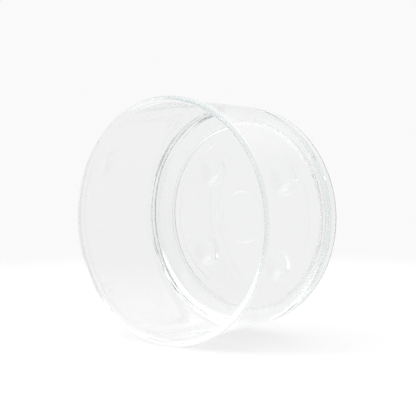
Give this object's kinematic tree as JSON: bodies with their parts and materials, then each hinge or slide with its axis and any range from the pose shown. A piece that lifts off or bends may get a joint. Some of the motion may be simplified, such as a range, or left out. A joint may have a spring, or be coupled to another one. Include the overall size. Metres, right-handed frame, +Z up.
{
  "type": "crystallizing dish",
  "caption": "Low, heavy glass dish with a rounded lip bead, thick floor, bevelled heel and a recessed underside with shallow pips.",
  "frame": {"origin": "centre of the underside, on the plane that the standing ring rests on", "axes": "+Z up the dish's axis, out of its mouth; the four pips stand 39, 129, 219 and 309 degrees round from +X, about a point 1 mm to the -X side of the axis"},
  "size_m": [0.08, 0.08, 0.046],
  "materials": {
    "clear_glass": "fire-polished clear glass with a faint green cast in the thick parts"
  },
  "bodies": {
    "root": {"rim_bead": "clear_glass", "side_wall": "clear_glass", "base_heel": "clear_glass", "floor_disc": "clear_glass", "standing_ring": "clear_glass", "mould_mark": "clear_glass", "base_bump_1": "clear_glass", "base_bump_2": "clear_glass", "base_bump_3": "clear_glass", "base_bump_4": "clear_glass"}
  },
  "joints": []
}
